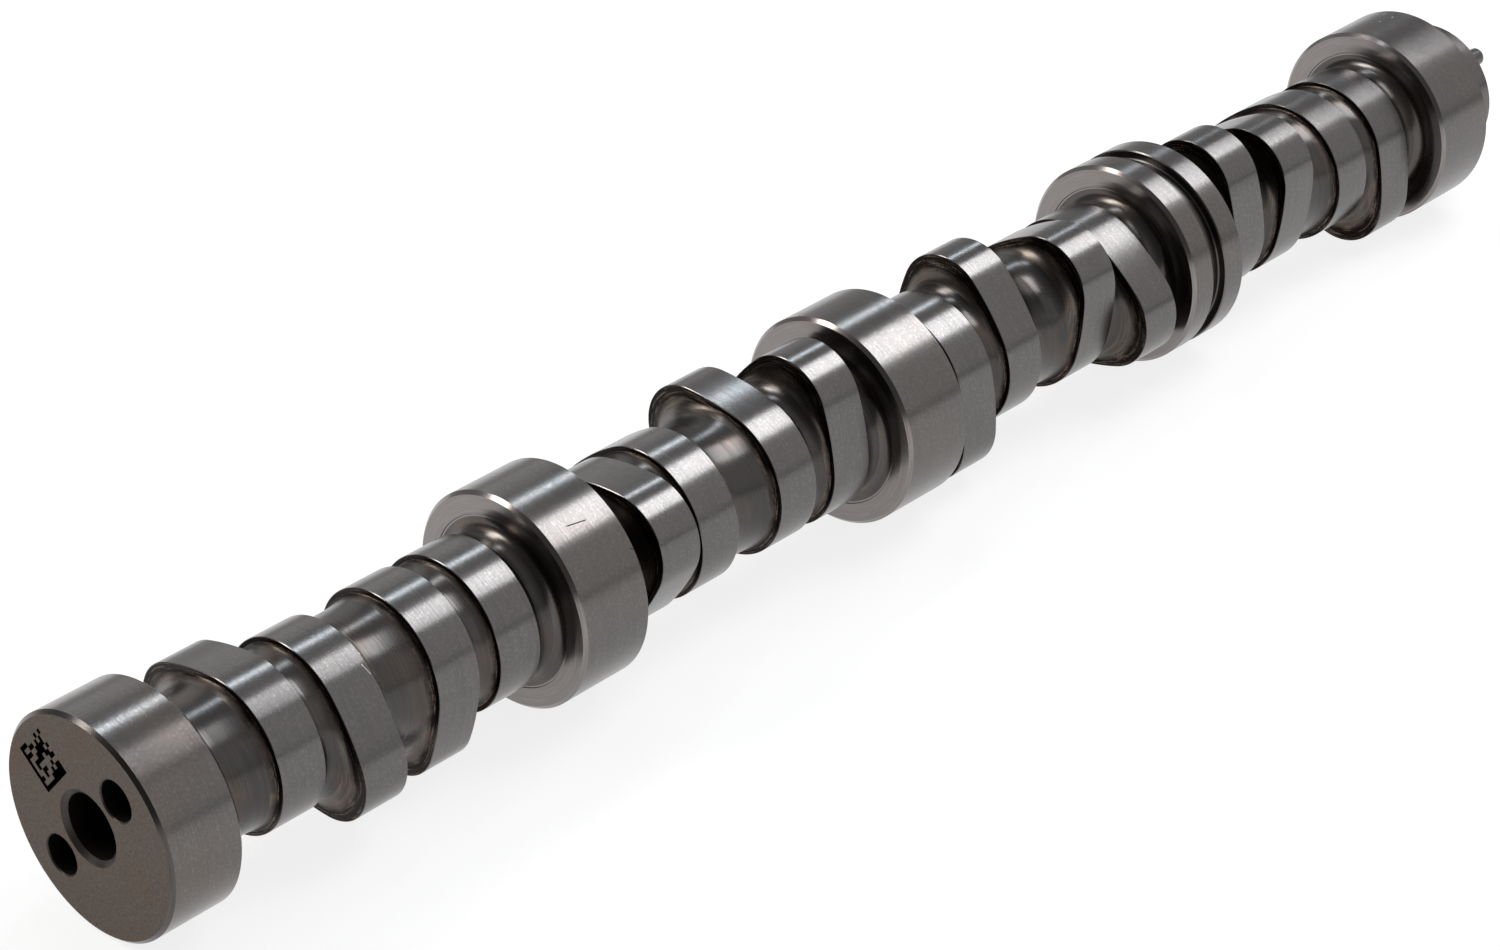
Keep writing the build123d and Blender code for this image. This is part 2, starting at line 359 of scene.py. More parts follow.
def groove_rows(x, rim):
    """Rows of the oil groove from its rear lip to its front lip."""
    half, floor = GROOVE_WIDTH / 2, rim - GROOVE_DEPTH
    return [
        Row(x - half - GROOVE_LIP, rim, GROUND),
        Row(x - half, rim - GROOVE_LIP, ROOT),
        Row(x - half, floor + GROOVE_ROOT, ROOT),
        *(Row(x + out, floor, ROOT)
          for out in np.linspace(GROOVE_ROOT - half, half - GROOVE_ROOT, GROOVE_ROWS)),
        Row(x + half, floor + GROOVE_ROOT, ROOT),
        Row(x + half, rim - GROOVE_LIP, GROUND),
        Row(x + half + GROOVE_LIP, rim, GROUND),
    ]


def nose_rows(sizes):
    """Rows from the front journal's rim over its front side and the nose to the bolt hole."""
    rim, nose = sizes.journal_radius, sizes.nose_radius
    return [
        Row(FRONT_SHOULDER - JOURNAL_CHAMFER, rim, GROUND),
        Row(FRONT_SHOULDER, rim - JOURNAL_CHAMFER, SIDE),
        Row(FRONT_SHOULDER, nose + NOSE_FILLET, SIDE),
        Row(FRONT_SHOULDER + NOSE_FILLET_MIDDLE, nose + NOSE_FILLET_MIDDLE, SIDE),
        Row(FRONT_SHOULDER + NOSE_FILLET, nose, GROUND),
        Row(NOSE_FACE - NOSE_CHAMFER, nose, GROUND),
        *(Row(NOSE_FACE, radius, SIDE)
          for radius in np.linspace(nose - NOSE_CHAMFER, sizes.thread_radius + THREAD_CHAMFER, NOSE_ROWS)),
    ]


def thread_rows(sizes):
    """Rows of the nose bolt hole from its mouth inwards. The thread is a helical wave: its depth
    is a triangle wave of X over the pitch plus the angle as part of a turn, fading at both ends."""
    start = NOSE_FACE - THREAD_CHAMFER
    count = THREAD_TURNS * THREAD_ROWS
    rows = []
    for k in range(count + 1):
        x = start - k * sizes.thread_pitch / THREAD_ROWS
        phase = ((x - start) / sizes.thread_pitch + (ANGLES - ANGLES[0]) / FULL_TURN) % 1
        wave = np.clip(THREAD_STEEPNESS * (1 - np.abs(2 * phase - 1)) - THREAD_FLAT, 0, 1)
        fade = min(1, k / THREAD_ROWS, (count - k) / THREAD_ROWS)
        rows.append(Row(x, sizes.thread_radius + THREAD_DEPTH * wave * fade, INSIDE))
    return rows


def shaft_rows(sizes):
    """All rows of the shaft in order. The last strip runs back to the first row, so the surface
    closes on itself."""
    rim, bore, inner = sizes.journal_radius, sizes.bore_radius, sizes.thread_radius
    rear = np.linspace(BORE_MOUTH_RADIUS, rim - JOURNAL_CHAMFER, REAR_ROWS)
    rows = [Row(REAR_FACE, radius, REAR) for radius in rear[:-1]]
    rows += [Row(REAR_FACE, rear[-1], ROOT), Row(REAR_FACE + JOURNAL_CHAMFER, rim, GROUND)]
    places = collars()
    for number, (x, _, kind, value) in enumerate(places):
        if number > 0:
            rows += collar_side(places, number, REAR_FACING, sizes)
        if kind == "journal" and value == GROOVE_JOURNAL:
            rows += groove_rows(x, rim)
        if number < len(places) - 1:
            rows += collar_side(places, number, FRONT_FACING, sizes)
    rows += nose_rows(sizes) + thread_rows(sizes)
    point = (bore - inner) / math.tan(DRILL_POINT)
    return rows + [
        Row(BORE_END, inner, INSIDE),
        Row(BORE_END - point, bore, INSIDE),
        Row(REAR_FACE + BORE_ROW, bore, INSIDE),
        Row(REAR_FACE + BORE_MOUTH_DEPTH, bore, INSIDE),
    ]


# Meshes

def strip_normals(points):
    """Normals at both rows of each strip of a grid whose columns close on themselves. A normal
    is the cross product of the direction round the row and the direction to the next row.
    Neighbouring strips share a normal, weighted by their widths, unless they meet at an edge."""
    round_row = np.roll(points, -1, 1) - np.roll(points, 1, 1)
    to_next = points[1:] - points[:-1]
    width = np.linalg.norm(to_next, axis=2, keepdims=True)
    ends = [np.cross(round_row[:-1], to_next), np.cross(round_row[1:], to_next)]
    first, last = (n / np.maximum(np.linalg.norm(n, axis=2, keepdims=True), 1e-15) for n in ends)
    before, after = last[:-1].copy(), first[1:].copy()
    smooth = (before * after).sum(2, keepdims=True) > SHARP
    shared = before * width[:-1]**2 + after * width[1:]**2
    shared /= np.maximum(np.linalg.norm(shared, axis=2, keepdims=True), 1e-15)
    last[:-1] = np.where(smooth, shared, before)
    first[1:] = np.where(smooth, shared, after)
    return first, last


class Surface:
    """Points, faces and face-corner normals of one mesh, gathered grid by grid."""

    def __init__(self):
        self.points, self.quads, self.normals, self.finishes, self.caps = [], [], [], [], []
        self.count = 0

    def add_points(self, points):
        """Keeps a grid of points, and returns their numbers in the mesh as a grid."""
        flat = points.reshape(-1, 3)
        index = self.count + np.arange(len(flat)).reshape(points.shape[:-1])
        self.points.append(flat)
        self.count += len(flat)
        return index

    def add_strips(self, index, first, last, finishes, keep=None):
        """Quads between neighbouring rows of point numbers, whose columns close on themselves."""
        turn = np.roll(index, -1, 1)
        quads = np.stack([index[:-1], turn[:-1], turn[1:], index[1:]], 2)
        normals = np.stack([first, np.roll(first, -1, 1), np.roll(last, -1, 1), last], 2)
        finish = np.broadcast_to(np.asarray(finishes)[:, None], quads.shape[:2])
        keep = np.ones(quads.shape[:2], bool) if keep is None else keep
        self.quads.append(quads[keep])
        self.normals.append(normals[keep])
        self.finishes.append(finish[keep])

    def add_cap(self, loop, normal, finish):
        """A flat face inside a loop of point numbers."""
        self.caps.append((loop.tolist(), normal, finish))

    def mesh(self, name, inset=None):
        """The finished mesh, with its normals, finishes and, for the shaft, the inset."""
        quads, normals = np.concatenate(self.quads), np.concatenate(self.normals)
        mesh = bpy.data.meshes.new(name)
        faces = quads.tolist() + [loop for loop, _, _ in self.caps]
        mesh.from_pydata(np.concatenate(self.points).tolist(), [], faces)
        corners = [normals.reshape(-1, 3)]
        corners += [np.tile(normal, (len(loop), 1)) for loop, normal, _ in self.caps]
        finish = np.concatenate(self.finishes + [np.array([f for _, _, f in self.caps], int)])
        mesh.polygons.foreach_set("material_index", finish.astype(np.int32))
        mesh.polygons.foreach_set("use_smooth", np.ones(len(faces), bool))
        if inset is not None:
            values = np.full(self.count, FAR_INSIDE, np.float32)
            values[:len(inset)] = inset
            layer = mesh.attributes.new("inset", "FLOAT", "POINT")
            layer.data.foreach_set("value", values)
        mesh.normals_split_custom_set(np.concatenate(corners).astype(np.float32))
        mesh.validate()
        return mesh


def across(angle):
    """Unit vector square to the shaft's axis, at an angle in degrees about it."""
    return np.array([0.0, math.cos(math.radians(angle)), math.sin(math.radians(angle))])


def spot(x, angle, radius):
    """Point at X, at an angle in degrees about the shaft's axis and a distance from it."""
    return np.array([x, 0, 0]) + across(angle) * radius


def window(keep, index, rows, columns):
    """Leaves out the quads between two rows and two columns, and returns the loop round them."""
    top, bottom = rows
    span = np.arange(columns[0], columns[1] + 1) % COLUMNS
    keep[top:bottom, span[:-1]] = False
    return np.concatenate([index[top, span], index[top + 1:bottom, span[-1]],
                           index[bottom, span[::-1]], index[top + 1:bottom, span[0]][::-1]])


def hole(surface, border, points, centre, out, radius, depth, finish, chamfer, place=None):
    """A round hole in a face whose border is a closed loop of points already there. Its lip is
    where lines from the hole's middle to the border cross the hole's circle. Rows run from the
    border to the lip, down a chamfer, along the wall and over a flat bottom. Place brings the
    points of the face onto a curved one."""
    out = np.array(out, float)
    away = points - centre
    away -= (away @ out)[:, None] * out
    away /= np.linalg.norm(away, axis=1)[:, None]
    turn = np.cross(np.roll(away, -1, 0) - away, -away) @ out
    if turn.sum() < 0:
        border, points, away = border[::-1], points[::-1], away[::-1]
    lip = centre + away * (radius + chamfer)
    lip = lip if place is None else place(lip)
    middle = (points + lip) / 2
    middle = middle if place is None else place(middle)
    edge = centre + away * radius - out * chamfer
    rows = [points, middle, lip] + ([edge] if chamfer else [])
    rows += [edge - out * depth * share for share in (0.5, 1)]
    grid = np.stack(rows)
    first, last = strip_normals(grid)
    index = np.vstack([border, surface.add_points(grid[1:])])
    surface.add_strips(index, first, last, [finish, finish] + [INSIDE] * (len(rows) - 3))
    surface.add_cap(index[-1], out, INSIDE)


def row_near(rows, x, radius):
    """Number of the row whose X and radius are nearest to these, at the first column."""
    far = [abs(row.x - x) + abs(np.ravel(row.radius)[0] - radius) for row in rows]
    return far.index(min(far))


def shaft_mesh(sizes):
    """The whole shaft. A row's points are (x, r cos a, r sin a) for the angles round the shaft."""
    rows = shaft_rows(sizes)
    x = np.stack([np.full(COLUMNS, row.x) for row in rows])
    radius = np.stack([np.broadcast_to(row.radius, COLUMNS) for row in rows])
    grid = np.stack([x, radius * np.cos(ANGLES), radius * np.sin(ANGLES)], 2)
    surface = Surface()
    index = surface.add_points(grid)
    first, last = strip_normals(np.concatenate([grid, grid[:1]]))
    keep = np.ones((len(rows), COLUMNS), bool)
    flat = grid.reshape(-1, 3)

    for turn in (0, COLUMNS // 2):
        border = window(keep, index, (0, REAR_ROWS - 1), (turn - REAR_HOLE_SPAN, turn + REAR_HOLE_SPAN))
        centre = spot(REAR_FACE, PIN_ANGLE + turn * 360 / COLUMNS, REAR_HOLE_PLACE_RADIUS)
        hole(surface, border, flat[border], centre, (-1, 0, 0), REAR_HOLE_RADIUS, REAR_HOLE_DEPTH, REAR,
             REAR_HOLE_CHAMFER)

    nose_top = row_near(rows, NOSE_FACE, sizes.nose_radius - NOSE_CHAMFER)
    border = window(keep, index, (nose_top, nose_top + PIN_HOLE_ROWS), (-PIN_HOLE_SPAN, PIN_HOLE_SPAN))
    hole(surface, border, flat[border], spot(NOSE_FACE, PIN_ANGLE, PIN_PLACE_RADIUS), (1, 0, 0),
         sizes.pin_radius + PIN_HOLE_GAP, PIN_LENGTH - PIN_PROUD + PIN_HOLE_SPARE_DEPTH, SIDE,
         PIN_HOLE_CHAMFER)

    floor = sizes.journal_radius - GROOVE_DEPTH
    groove = journal_centre(GROOVE_JOURNAL)
    low = row_near(rows, groove - GROOVE_WIDTH / 2 + GROOVE_ROOT, floor)

    def on_floor(points):
        scale = floor / np.linalg.norm(points[:, 1:], axis=1)
        return np.column_stack([points[:, 0], points[:, 1:] * scale[:, None]])

    for angle in OIL_HOLE_ANGLES:
        column = round((angle - PIN_ANGLE) / 360 * COLUMNS)
        border = window(keep, index, (low, low + GROOVE_ROWS - 1),
                        (column - OIL_HOLE_SPAN, column + OIL_HOLE_SPAN))
        hole(surface, border, flat[border], spot(groove, angle, floor), across(angle),
             OIL_HOLE_RADIUS, OIL_HOLE_DEPTH, SIDE, 0.0, on_floor)

    surface.add_strips(np.concatenate([index, index[:1]]), first, last, [row.finish for row in rows], keep)
    return surface.mesh("camshaft", inset_values(rows, radius, sizes.base_radius))


def inset_values(rows, radius, base):
    """How far each point of a lobe's side lies inside the lobe's outline, as a multiple of the
    flat band's width, which the scale and its rings follow. Other points get a large value."""
    inset = np.full_like(radius, FAR_INSIDE)
    for number, row in enumerate(rows):
        if row.outline is not None:
            inset[number] = (row.outline - radius[number]) / band_width(row.outline, base)
    return inset.ravel()


def pin_mesh(sizes):
    """The dowel pin: a line of X and radius turned about the pin's own axis, with a chamfered
    inner end and a domed outer end, where X rises as sin t and the radius falls as a power of
    cos t."""
    radius, inner = sizes.pin_radius, PIN_PROUD - PIN_LENGTH
    profile = [(inner, radius - PIN_INNER_CHAMFER), (inner + PIN_INNER_CHAMFER, radius)]
    profile += [(PIN_PROUD - PIN_DOME + PIN_DOME * math.sin(t), radius * math.cos(t)**PIN_DOME_POWER)
                for t in np.linspace(0, math.pi / 2, PIN_DOME_ROWS, endpoint=False)]
    angle = np.arange(PIN_COLUMNS) * FULL_TURN / PIN_COLUMNS
    line = np.array(profile)[:, :, None]
    middle = across(PIN_ANGLE) * PIN_PLACE_RADIUS
    x = np.broadcast_to(line[:, 0] + NOSE_FACE, (len(profile), PIN_COLUMNS))
    grid = np.stack([x, middle[1] + line[:, 1] * np.cos(angle), middle[2] + line[:, 1] * np.sin(angle)], 2)
    surface = Surface()
    index = surface.add_points(grid)
    first, last = strip_normals(grid)
    surface.add_strips(index, first, last, [0] * (len(profile) - 1))
    surface.add_cap(index[0][::-1], (-1, 0, 0), 0)
    surface.add_cap(index[-1], (1, 0, 0), 0)
    return surface.mesh("dowel_pin")


def piece(name, mesh, materials, node):
    """Puts a mesh in the scene as the piece that stands for a CAD node."""
    thing = bpy.data.objects.new(name, mesh)
    bpy.context.scene.collection.objects.link(thing)
    for material in materials:
        mesh.materials.append(material)
    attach(thing, "root")
    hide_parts(node)


# Nodes that the finishes share

BUMP_DEPTH = 0.02 * MM
ACROSS_LINES = 0.25      # of a turn, which draws a highlight out square to the grinding lines


def add(tree, kind, links=None, **settings):
    """Adds a node, sets it and links it. A link's key is a socket's name or number, and its
    value is another node's output, a colour or a plain value."""
    node = tree.nodes.new("ShaderNode" + kind)
    for name, value in settings.items():
        setattr(node, name, value)
    for socket, value in (links or {}).items():
        if isinstance(value, bpy.types.NodeSocket):
            tree.links.new(value, node.inputs[socket])
        else:
            node.inputs[socket].default_value = (*value, 1.0) if isinstance(value, Color) else value
    return node


def new_finish(name):
    """A material, its node tree, and Object coordinates, whole and as X, Y and Z."""
    material = bpy.data.materials.new(name)
    material.use_nodes = True
    tree = material.node_tree
    tree.nodes.clear()
    where = add(tree, "TexCoord").outputs["Object"]
    return material, tree, where, add(tree, "SeparateXYZ", {0: where}).outputs


def from_axis(tree, parts):
    """Distance from the shaft's axis: the length of (0, y, z)."""
    flat = add(tree, "CombineXYZ", {"Y": parts["Y"], "Z": parts["Z"]}).outputs[0]
    return add(tree, "VectorMath", {0: flat}, operation="LENGTH").outputs["Value"]


def lines_round(tree, where, width, run, detail, rough=0.5):
    """Fine lines round the shaft: noise in stretched points (x / width, y / run, z / run), so each
    line is narrow along X and long round the shaft."""
    stretched = add(tree, "Mapping", {"Vector": where, "Scale": (1 / width, 1 / run, 1 / run)})
    return add(tree, "TexNoise", {"Vector": stretched.outputs[0], "Scale": 1.0, "Detail": detail,
                                  "Roughness": rough}).outputs[0]


def rings(tree, parts, outwards, width, run, detail, rough=0.5):
    """Rings on a side of the shaft: noise at the point (outwards / width, y / run, z / run), where
    outwards is a value that grows or falls towards the rim."""
    steps = ((outwards, width), (parts["Y"], run), (parts["Z"], run))
    counts = [add(tree, "Math", {0: value, 1: 1 / step}, operation="MULTIPLY").outputs[0]
              for value, step in steps]
    point = add(tree, "CombineXYZ", dict(enumerate(counts))).outputs[0]
    return add(tree, "TexNoise", {"Vector": point, "Scale": 1.0, "Detail": detail,
                                  "Roughness": rough}).outputs[0]


def merged(tree, operation, *values):
    """Several outputs made one, in turn: their sum, or for masks where all hold, MULTIPLY, or
    where any holds, MAXIMUM."""
    total = values[0]
    for value in values[1:]:
        total = add(tree, "Math", {0: total, 1: value}, operation=operation).outputs[0]
    return total


def ranged(tree, *parts, operation="ADD"):
    """Patterns brought into ranges and merged. Each part is a pattern, two of its values, and
    what they become. Values between them follow a straight line, and others stay at its ends."""
    values = [add(tree, "MapRange", {"Value": pattern, "From Min": low, "From Max": high,
                                     "To Min": at_low, "To Max": at_high}).outputs[0]
              for pattern, low, high, at_low, at_high in parts]
    return merged(tree, operation, *values)


def layered(tree, base, *layers):
    """Colours laid over a base, one after the other. A layer is a colour, the pattern that it
    follows, the pattern's values where it begins and where it is full, and its share there."""
    for tint, pattern, begins, full, share in layers:
        mask = ranged(tree, (pattern, begins, full, 0.0, share))
        base = add(tree, "Mix", {0: mask, 6: base, 7: tint}, data_type="RGBA").outputs[2]
    return base


def steel(tree, base, rough, height, bump, anisotropic, edge=1.0):
    """Closes a steel finish: a metal whose highlight is drawn out across its grinding lines. Edge
    is how bright the metal is where it is seen edge on."""
    normal = add(tree, "Bump", {"Height": height, "Strength": bump, "Distance": BUMP_DEPTH}).outputs[0]
    round_shaft = add(tree, "Tangent", direction_type="RADIAL", axis="X").outputs[0]
    shader = add(tree, "BsdfPrincipled", {
        "Base Color": base, "Metallic": 1.0, "Roughness": rough, "Normal": normal,
        "Anisotropic": anisotropic, "Anisotropic Rotation": ACROSS_LINES, "Tangent": round_shaft,
        "Specular Tint": (edge, edge, edge, 1.0)})
    add(tree, "OutputMaterial", {"Surface": shader.outputs[0]})


# Masks: nicks in the ground steel and blocks on the rear face

# X in mm, angle in degrees, length and width in mm, degrees between the nick and the shaft's axis,
# and whether it is bright: a scratch with the glint it catches painted into its colour
NICKS = (
    (-335.8, 125.7, 5.6, 0.30, 9.0, False),
    (-325.4, 150.2, 2.6, 0.22, 35.0, False),
    (-322.0, 146.0, 1.4, 0.22, -50.0, False),
    (-397.9, 131.5, 4.2, 0.20, 64.0, True),
    (-396.2, 136.0, 5.0, 0.18, 38.0, True),
    (-399.6, 137.5, 3.0, 0.18, 75.0, True),
    (7.0, 76.0, 1.3, 0.45, 30.0, True),
    (5.2, 84.6, 1.1, 0.5, -10.0, True),
    (1.0, 82.0, 0.9, 0.4, 60.0, True),
)
NICK_HEIGHT = 20.0 * MM      # of a nick's middle above the axis, and how far its mask reaches up and
NICK_REACH = 12.0 * MM       # down from there, which holds the surface on that side of the shaft alone


def nick_mask(tree, where, bright):
    """Mask of the bright nicks, whose glint is painted, or of the dark nicks. A place counts where its
    distance along a nick is under half the nick's length, its distance beside it is under half the
    width, and it lies on the nick's own side of the shaft."""
    nicks = []
    for x, angle, long_mm, wide_mm, turn, shines in NICKS:
        if shines is not bright:
            continue
        out, slope = across(angle), math.radians(turn)
        middle = spot(x * MM, angle, NICK_HEIGHT)
        along = np.array([math.cos(slope), 0, 0]) + np.cross((1, 0, 0), out) * math.sin(slope)
        beside = np.cross(out, along)
        inside = []
        for direction, reach in ((along, long_mm * MM / 2), (beside, wide_mm * MM / 2), (out, NICK_REACH)):
            scaled = direction / reach
            far = add(tree, "VectorMath", {0: where, 1: tuple(scaled)}, operation="DOT_PRODUCT")
            inside.append(add(tree, "Math", {0: far.outputs["Value"], 1: float(middle @ scaled), 2: 1.0},
                              operation="COMPARE").outputs[0])
        nicks.append(merged(tree, "MULTIPLY", *inside))
    return merged(tree, "MAXIMUM", *nicks)


MARK_SIDE = 11.4 * MM
MARK_CELLS = 10
MARK_ANGLES = (161.93, 71.93)            # two directions on the rear face, square to each other
MARK_CENTRE = (-8.8 * MM, 15.2 * MM)     # along those two directions
MARK_TURN = math.radians(29)             # of the square's bottom side from the first direction
MARK_SEED = 7.0


def block_mark(tree, where):
    """Mask of the block pattern: a place is turned into the square's own directions and counted
    in cells. Two sides are solid, and each other cell is dark or bare by chance."""
    near, far = (across(angle) for angle in MARK_ANGLES)
    right = near * math.cos(MARK_TURN) + far * math.sin(MARK_TURN)
    up = -near * math.sin(MARK_TURN) + far * math.cos(MARK_TURN)
    middle = near * MARK_CENTRE[0] + far * MARK_CENTRE[1]
    cell, half = MARK_SIDE / MARK_CELLS, MARK_CELLS / 2
    counts = []
    for direction in (right, up):
        along = add(tree, "VectorMath", {0: where, 1: tuple(direction / cell)}, operation="DOT_PRODUCT")
        start = half - float(middle @ direction) / cell
        counts.append(add(tree, "Math", {0: along.outputs["Value"], 1: start}, operation="ADD").outputs[0])
    cells = [add(tree, "Math", {0: count}, operation="FLOOR").outputs[0] for count in counts]
    point = add(tree, "CombineXYZ", {"X": cells[0], "Y": cells[1], "Z": MARK_SEED}).outputs[0]
    chance = add(tree, "TexWhiteNoise", {"Vector": point}, noise_dimensions="3D").outputs["Value"]
    dark = [add(tree, "Math", {0: chance, 1: 0.5}, operation="GREATER_THAN").outputs[0]]
    dark += [add(tree, "Math", {0: count, 1: 0.5}, operation="LESS_THAN").outputs[0] for count in cells]
    inside = [add(tree, "Math", {0: count, 1: half, 2: half}, operation="COMPARE").outputs[0]
              for count in counts]
    return merged(tree, "MULTIPLY", merged(tree, "MAXIMUM", *dark), *inside)


# Finishes

SCALE_RINGS = 3.4            # in the width of a lobe's flat band
SCALE_END = (1.5, 2.3)       # widths of that band from the outline, where scale thins out and is gone


def ground_steel(colours):
    """Hardened steel, cylindrically ground: a neutral grey with fine lines round the shaft that
    draw its highlights out along the axis and fray their edges. Real lines are 0.05 mm apart;
    these are 0.3 mm, and the bright grain 0.67 mm, to show. Straw stains about 26 mm across lie
    mostly on the journals, and more so towards the rear. A few nicks are dark, and a few are bright
    scratches with their glint painted into their colour."""
    material, tree, where, parts = new_finish("ground_steel")
    fine = lines_round(tree, where, 0.3 * MM, 12 * MM, 4.0, 0.7)
    broad = lines_round(tree, where, 2.5 * MM, 40 * MM, 2.0)
    patch = add(tree, "TexNoise", {"Vector": where, "Scale": 1 / (26.3 * MM), "Detail": 4.0,
                                   "Roughness": 0.6}).outputs[0]
    speck = add(tree, "TexNoise", {"Vector": where, "Scale": 1 / (0.6667 * MM), "Detail": 2.0}).outputs[0]
    stained = ranged(tree, (patch, 0.36, 0.66, 0.0, 1.0), (parts["X"], -0.30, -0.45, 0.26, 0.48),
                     (from_axis(tree, parts), 27.2 * MM, 27.4 * MM, 0.2, 1.0), operation="MULTIPLY")
    base = layered(tree, colours.ground,
                   (colours.stain, stained, 0.0, 1.0, 1.0),
                   (colours.ground_line, fine, 0.35, 0.7, 0.27),
                   (colours.ground_speck, speck, 0.5, 0.7, 0.2),
                   (colours.nick, nick_mask(tree, where, False), 0.0, 1.0, 1.0),
                   # bright scratches, with a painted glint
                   (colours.scuff_and_glint, nick_mask(tree, where, True), 0.0, 1.0, 1.0))
    rough = ranged(tree, (broad, 0.3, 0.7, 0.21, 0.24), (fine, 0.3, 0.7, -0.025, 0.045))
    steel(tree, base, rough, fine, 0.15, 0.5)
    return material


def core_steel_and_shade(colours):
    """Steel of the core, turned and polished between the lobes, with fine lines round the shaft. Its
    colour is darker than the lobes': partly its own finish, partly painted shade of the gaps between
    the lobes. Real lines are 0.1 mm apart, and these 0.45 mm, to show. Straw patches are about 9 mm across."""
    material, tree, where, _ = new_finish("core_steel_and_shade")
    fine = lines_round(tree, where, 0.45 * MM, 14 * MM, 4.0, 0.6)
    patch = add(tree, "TexNoise", {"Vector": where, "Scale": 1 / (9.09 * MM), "Detail": 3.0}).outputs[0]
    base = layered(tree, colours.core,
                   (colours.temper, patch, 0.45, 0.75, 0.22),
                   (colours.core_line, fine, 0.35, 0.7, 0.36))
    steel(tree, base, ranged(tree, (fine, 0.3, 0.7, 0.22, 0.3)), fine, 0.2, 0.6)
    return material


def root_steel(colours):
    """Fillets between the core and the journals, polished by the form tool: nearly a mirror, with
    faint straw to bronze temper colours in patches about 8 mm across. Its lines are 0.5 mm apart,
    coarser than real ones, to show."""
    material, tree, where, _ = new_finish("root_steel")
    patch = add(tree, "TexNoise", {"Vector": where, "Scale": 1 / (8.333 * MM), "Detail": 3.0}).outputs[0]
    fine = lines_round(tree, where, 0.5 * MM, 10 * MM, 3.0)
    base = layered(tree, colours.root,
                   (colours.temper, patch, 0.48, 0.72, 0.26),
                   (colours.root_line, fine, 0.35, 0.7, 0.35))
    steel(tree, base, ranged(tree, (patch, 0.3, 0.7, 0.22, 0.28)), fine, 0.12, 0.3)
    return material


def scaled_steel(colours):
    """Side of a lobe: a polished bowl with a straw tint, and beside the edge, where the grinder
    doesn't reach, black scale from hardening with thin bronze rings and fine pits. The scale and
    its rings follow the flat band, so at the lobe's nose they are twice as wide: the scale grows
    from about 2 to 4 mm, and its rings from 0.3 to 0.6 mm. Its border wanders."""
    material, tree, where, parts = new_finish("scaled_steel")
    inset = add(tree, "Attribute", attribute_name="inset").outputs["Fac"]
    bands = rings(tree, parts, inset, 1 / SCALE_RINGS, 8.333 * MM, 3.0, 0.6)
    pits = add(tree, "TexNoise", {"Vector": where, "Scale": 1 / (0.7143 * MM), "Detail": 3.0}).outputs[0]
    wander = add(tree, "TexNoise", {"Vector": where, "Scale": 1 / (6.25 * MM), "Detail": 3.0}).outputs[0]
    bowl = layered(tree, colours.bowl,
                   (colours.temper, wander, 0.45, 0.7, 0.28),
                   (colours.bowl_line, bands, 0.4, 0.6, 0.55))
    scale = layered(tree, colours.scale,
                    (colours.scale_ring, bands, 0.5, 0.68, 0.8),
                    (colours.scale_pit, pits, 0.5, 0.66, 0.75))
    border = merged(tree, "ADD", ranged(tree, (wander, 0.3, 0.7, -0.3, 0.3)), inset)
    base = layered(tree, scale, (bowl, border, *SCALE_END, 1.0))
    rough = ranged(tree, (border, *SCALE_END, 0.36, 0.27))
    steel(tree, base, rough, merged(tree, "ADD", bands, pits), 0.3, 0.0)
    return material


def side_steel(colours):
    """Side of a journal, faced in a lathe: a light warm grey with turning rings. They are drawn
    0.25 mm apart, coarser than real ones, to show."""
    material, tree, where, parts = new_finish("side_steel")
    fine = rings(tree, parts, from_axis(tree, parts), 0.25 * MM, 9 * MM, 4.0, 0.6)
    tone = add(tree, "TexNoise", {"Vector": where, "Scale": 1 / (16.67 * MM), "Detail": 3.0}).outputs[0]
    base = layered(tree, colours.side,
                   (colours.temper, tone, 0.5, 0.8, 0.08),
                   (colours.side_line, fine, 0.38, 0.66, 0.3))
    steel(tree, base, ranged(tree, (fine, 0.3, 0.7, 0.18, 0.26)), fine, 0.18, 0.5)
    return material


def rear_steel(colours):
    """Rear end of the shaft, faced and then dulled: a warm grey with a grain drawn 0.67 mm across,
    to show, and a tone that changes over about 13 mm. A square of made-up blocks is marked on it
    by laser. The blocks are random and say nothing."""
    material, tree, where, parts = new_finish("rear_steel")
    grain = add(tree, "TexNoise", {"Vector": where, "Scale": 1 / (0.6667 * MM), "Detail": 3.0,
                                   "Roughness": 0.7}).outputs[0]
    fine = rings(tree, parts, from_axis(tree, parts), 0.6 * MM, 25 * MM, 2.0)
    tone = add(tree, "TexNoise", {"Vector": where, "Scale": 1 / (13.33 * MM), "Detail": 4.0,
                                  "Roughness": 0.6}).outputs[0]
    mark = block_mark(tree, where)
    base = layered(tree, colours.rear,
                   (colours.temper, tone, 0.42, 0.68, 0.26),
                   (colours.rear_grain, grain, 0.36, 0.64, 0.5),
                   (colours.mark, mark, 0.0, 1.0, 1.0))
    rough = ranged(tree, (mark, 0.0, 1.0, 0.38, 0.43))
    steel(tree, base, rough, merged(tree, "ADD", grain, fine), 0.4, 0.3, edge=0.35)
    return material


def bored_steel_and_shade(colours):
    """Bored and drilled steel, with coarse tool lines round each hole, 0.5 mm apart. Its dark colour is
    partly the steel's own and partly painted shade inside the bore and holes.
    """
    material, tree, where, _ = new_finish("bored_steel_and_shade")
    fine = lines_round(tree, where, 0.5 * MM, 8 * MM, 2.0)
    base = layered(tree, colours.bored_and_shade, (colours.bored_line, fine, 0.0, 1.0, 1.0))
    steel(tree, base, 0.42, fine, 0.4, 0.0)
    return material


